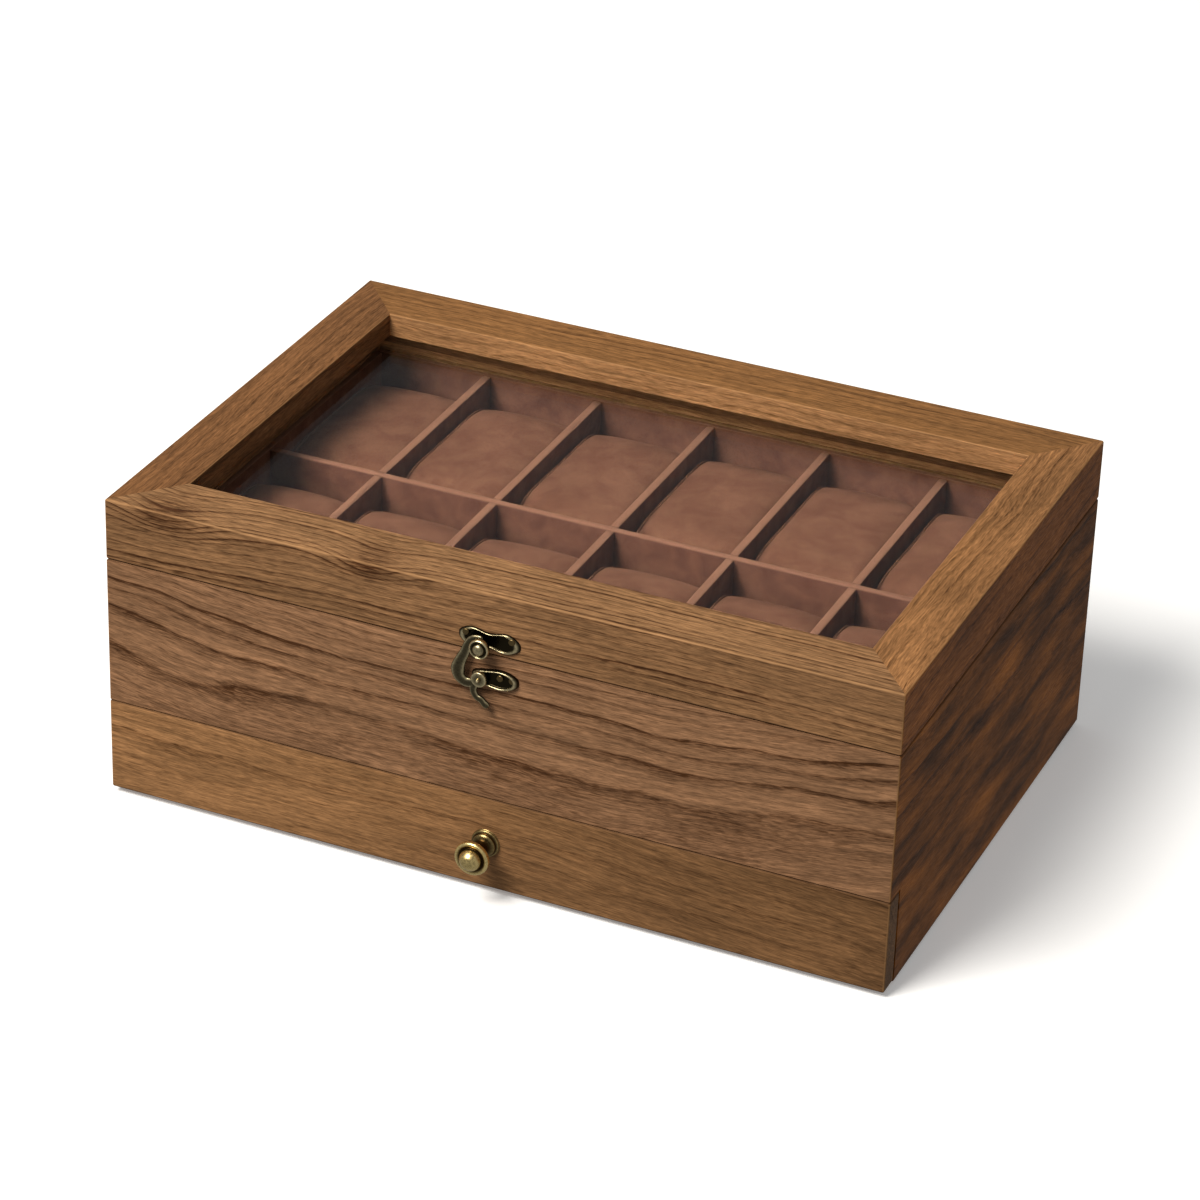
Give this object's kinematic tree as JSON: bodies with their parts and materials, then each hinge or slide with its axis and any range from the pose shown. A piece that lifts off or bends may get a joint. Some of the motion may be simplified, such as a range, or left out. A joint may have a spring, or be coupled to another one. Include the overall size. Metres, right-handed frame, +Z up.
{
  "type": "watch box",
  "caption": "Wooden watch box with a glazed hinged lid, a lined tray of cells with lift-out pillows, a drawer below and a swinging hook latch.",
  "frame": {"origin": "centre of the underside, on the surface that the box stands on", "axes": "+X to the right seen from the front, +Y from the front to the hinged back, +Z up"},
  "size_m": [0.33, 0.2502, 0.132],
  "materials": {
    "lid_wood": "satin, carbonised light wood",
    "case_wood": "satin, carbonised light wood",
    "inner_wood": "unfinished plywood and softwood",
    "glass": "clear",
    "lining_velvet": "short pile velvet",
    "pillow_velvet": "suede-like velvet",
    "felt": "felt",
    "knob_brass": "antique, rubbed",
    "latch_bronze": "antique bronze, dark with rubbed edges",
    "screw_steel": "brassed steel"
  },
  "bodies": {
    "case": {"base_felt": "felt", "base_panel": "inner_wood", "case_board_back": "case_wood", "case_board_front": "case_wood", "case_board_left": "case_wood", "case_board_right": "case_wood", "case_hinge_leaves": "latch_bronze", "case_hinge_screws": "screw_steel", "cross_divider_1": "lining_velvet", "cross_divider_2": "lining_velvet", "cross_divider_3": "lining_velvet", "cross_divider_4": "lining_velvet", "cross_divider_5": "lining_velvet", "floor_lining": "lining_velvet", "hinge_pins": "latch_bronze", "hook_plate": "latch_bronze", "hook_plate_nails": "latch_bronze", "lining_back": "lining_velvet", "lining_front": "lining_velvet", "lining_left": "lining_velvet", "lining_right": "lining_velvet", "long_divider": "lining_velvet", "pivot_rivet": "latch_bronze", "tray_floor": "inner_wood"},
    "lid": {"catch_nails": "latch_bronze", "catch_plate": "latch_bronze", "catch_post": "latch_bronze", "glass_bead_back": "lid_wood", "glass_bead_front": "lid_wood", "glass_bead_left": "lid_wood", "glass_bead_right": "lid_wood", "lid_glass": "glass", "lid_hinge_leaves": "latch_bronze", "lid_hinge_screws": "screw_steel", "lid_rail_back": "lid_wood", "lid_rail_front": "lid_wood", "lid_rail_left": "lid_wood", "lid_rail_right": "lid_wood"},
    "drawer": {"drawer_back": "inner_wood", "drawer_bottom": "inner_wood", "drawer_front": "case_wood", "drawer_lining": "lining_velvet", "drawer_side_left": "inner_wood", "drawer_side_right": "inner_wood", "knob": "knob_brass", "knob_screw": "screw_steel"},
    "latch_hook": {"latch_hook": "latch_bronze"},
    "pillow_front_1": {"pillow_front_1": "pillow_velvet"},
    "pillow_front_2": {"pillow_front_2": "pillow_velvet"},
    "pillow_front_3": {"pillow_front_3": "pillow_velvet"},
    "pillow_front_4": {"pillow_front_4": "pillow_velvet"},
    "pillow_front_5": {"pillow_front_5": "pillow_velvet"},
    "pillow_front_6": {"pillow_front_6": "pillow_velvet"},
    "pillow_back_1": {"pillow_back_1": "pillow_velvet"},
    "pillow_back_2": {"pillow_back_2": "pillow_velvet"},
    "pillow_back_3": {"pillow_back_3": "pillow_velvet"},
    "pillow_back_4": {"pillow_back_4": "pillow_velvet"},
    "pillow_back_5": {"pillow_back_5": "pillow_velvet"},
    "pillow_back_6": {"pillow_back_6": "pillow_velvet"}
  },
  "joints": [
    {"name": "lid_hinge", "type": "hinge", "parent": "case", "child": "lid", "pos_m": [0, 0.1162, 0.10585], "axis": [-1, 0, 0], "range_deg": [0, 100]},
    {"name": "drawer_slide", "type": "slide", "parent": "case", "child": "drawer", "axis": [0, -1, 0], "range_m": [0, 0.15]},
    {"name": "hook_swing", "type": "hinge", "parent": "case", "child": "latch_hook", "pos_m": [-0.003, -0.1167, 0.0957], "axis": [0, -1, 0], "range_deg": [0, 110]},
    {"name": "pillow_front_1_lift", "type": "slide", "parent": "case", "child": "pillow_front_1", "axis": [0, 0, 1], "range_m": [0, 0.015]},
    {"name": "pillow_front_2_lift", "type": "slide", "parent": "case", "child": "pillow_front_2", "axis": [0, 0, 1], "range_m": [0, 0.015]},
    {"name": "pillow_front_3_lift", "type": "slide", "parent": "case", "child": "pillow_front_3", "axis": [0, 0, 1], "range_m": [0, 0.015]},
    {"name": "pillow_front_4_lift", "type": "slide", "parent": "case", "child": "pillow_front_4", "axis": [0, 0, 1], "range_m": [0, 0.015]},
    {"name": "pillow_front_5_lift", "type": "slide", "parent": "case", "child": "pillow_front_5", "axis": [0, 0, 1], "range_m": [0, 0.015]},
    {"name": "pillow_front_6_lift", "type": "slide", "parent": "case", "child": "pillow_front_6", "axis": [0, 0, 1], "range_m": [0, 0.015]},
    {"name": "pillow_back_1_lift", "type": "slide", "parent": "case", "child": "pillow_back_1", "axis": [0, 0, 1], "range_m": [0, 0.015]},
    {"name": "pillow_back_2_lift", "type": "slide", "parent": "case", "child": "pillow_back_2", "axis": [0, 0, 1], "range_m": [0, 0.015]},
    {"name": "pillow_back_3_lift", "type": "slide", "parent": "case", "child": "pillow_back_3", "axis": [0, 0, 1], "range_m": [0, 0.015]},
    {"name": "pillow_back_4_lift", "type": "slide", "parent": "case", "child": "pillow_back_4", "axis": [0, 0, 1], "range_m": [0, 0.015]},
    {"name": "pillow_back_5_lift", "type": "slide", "parent": "case", "child": "pillow_back_5", "axis": [0, 0, 1], "range_m": [0, 0.015]},
    {"name": "pillow_back_6_lift", "type": "slide", "parent": "case", "child": "pillow_back_6", "axis": [0, 0, 1], "range_m": [0, 0.015]}
  ]
}
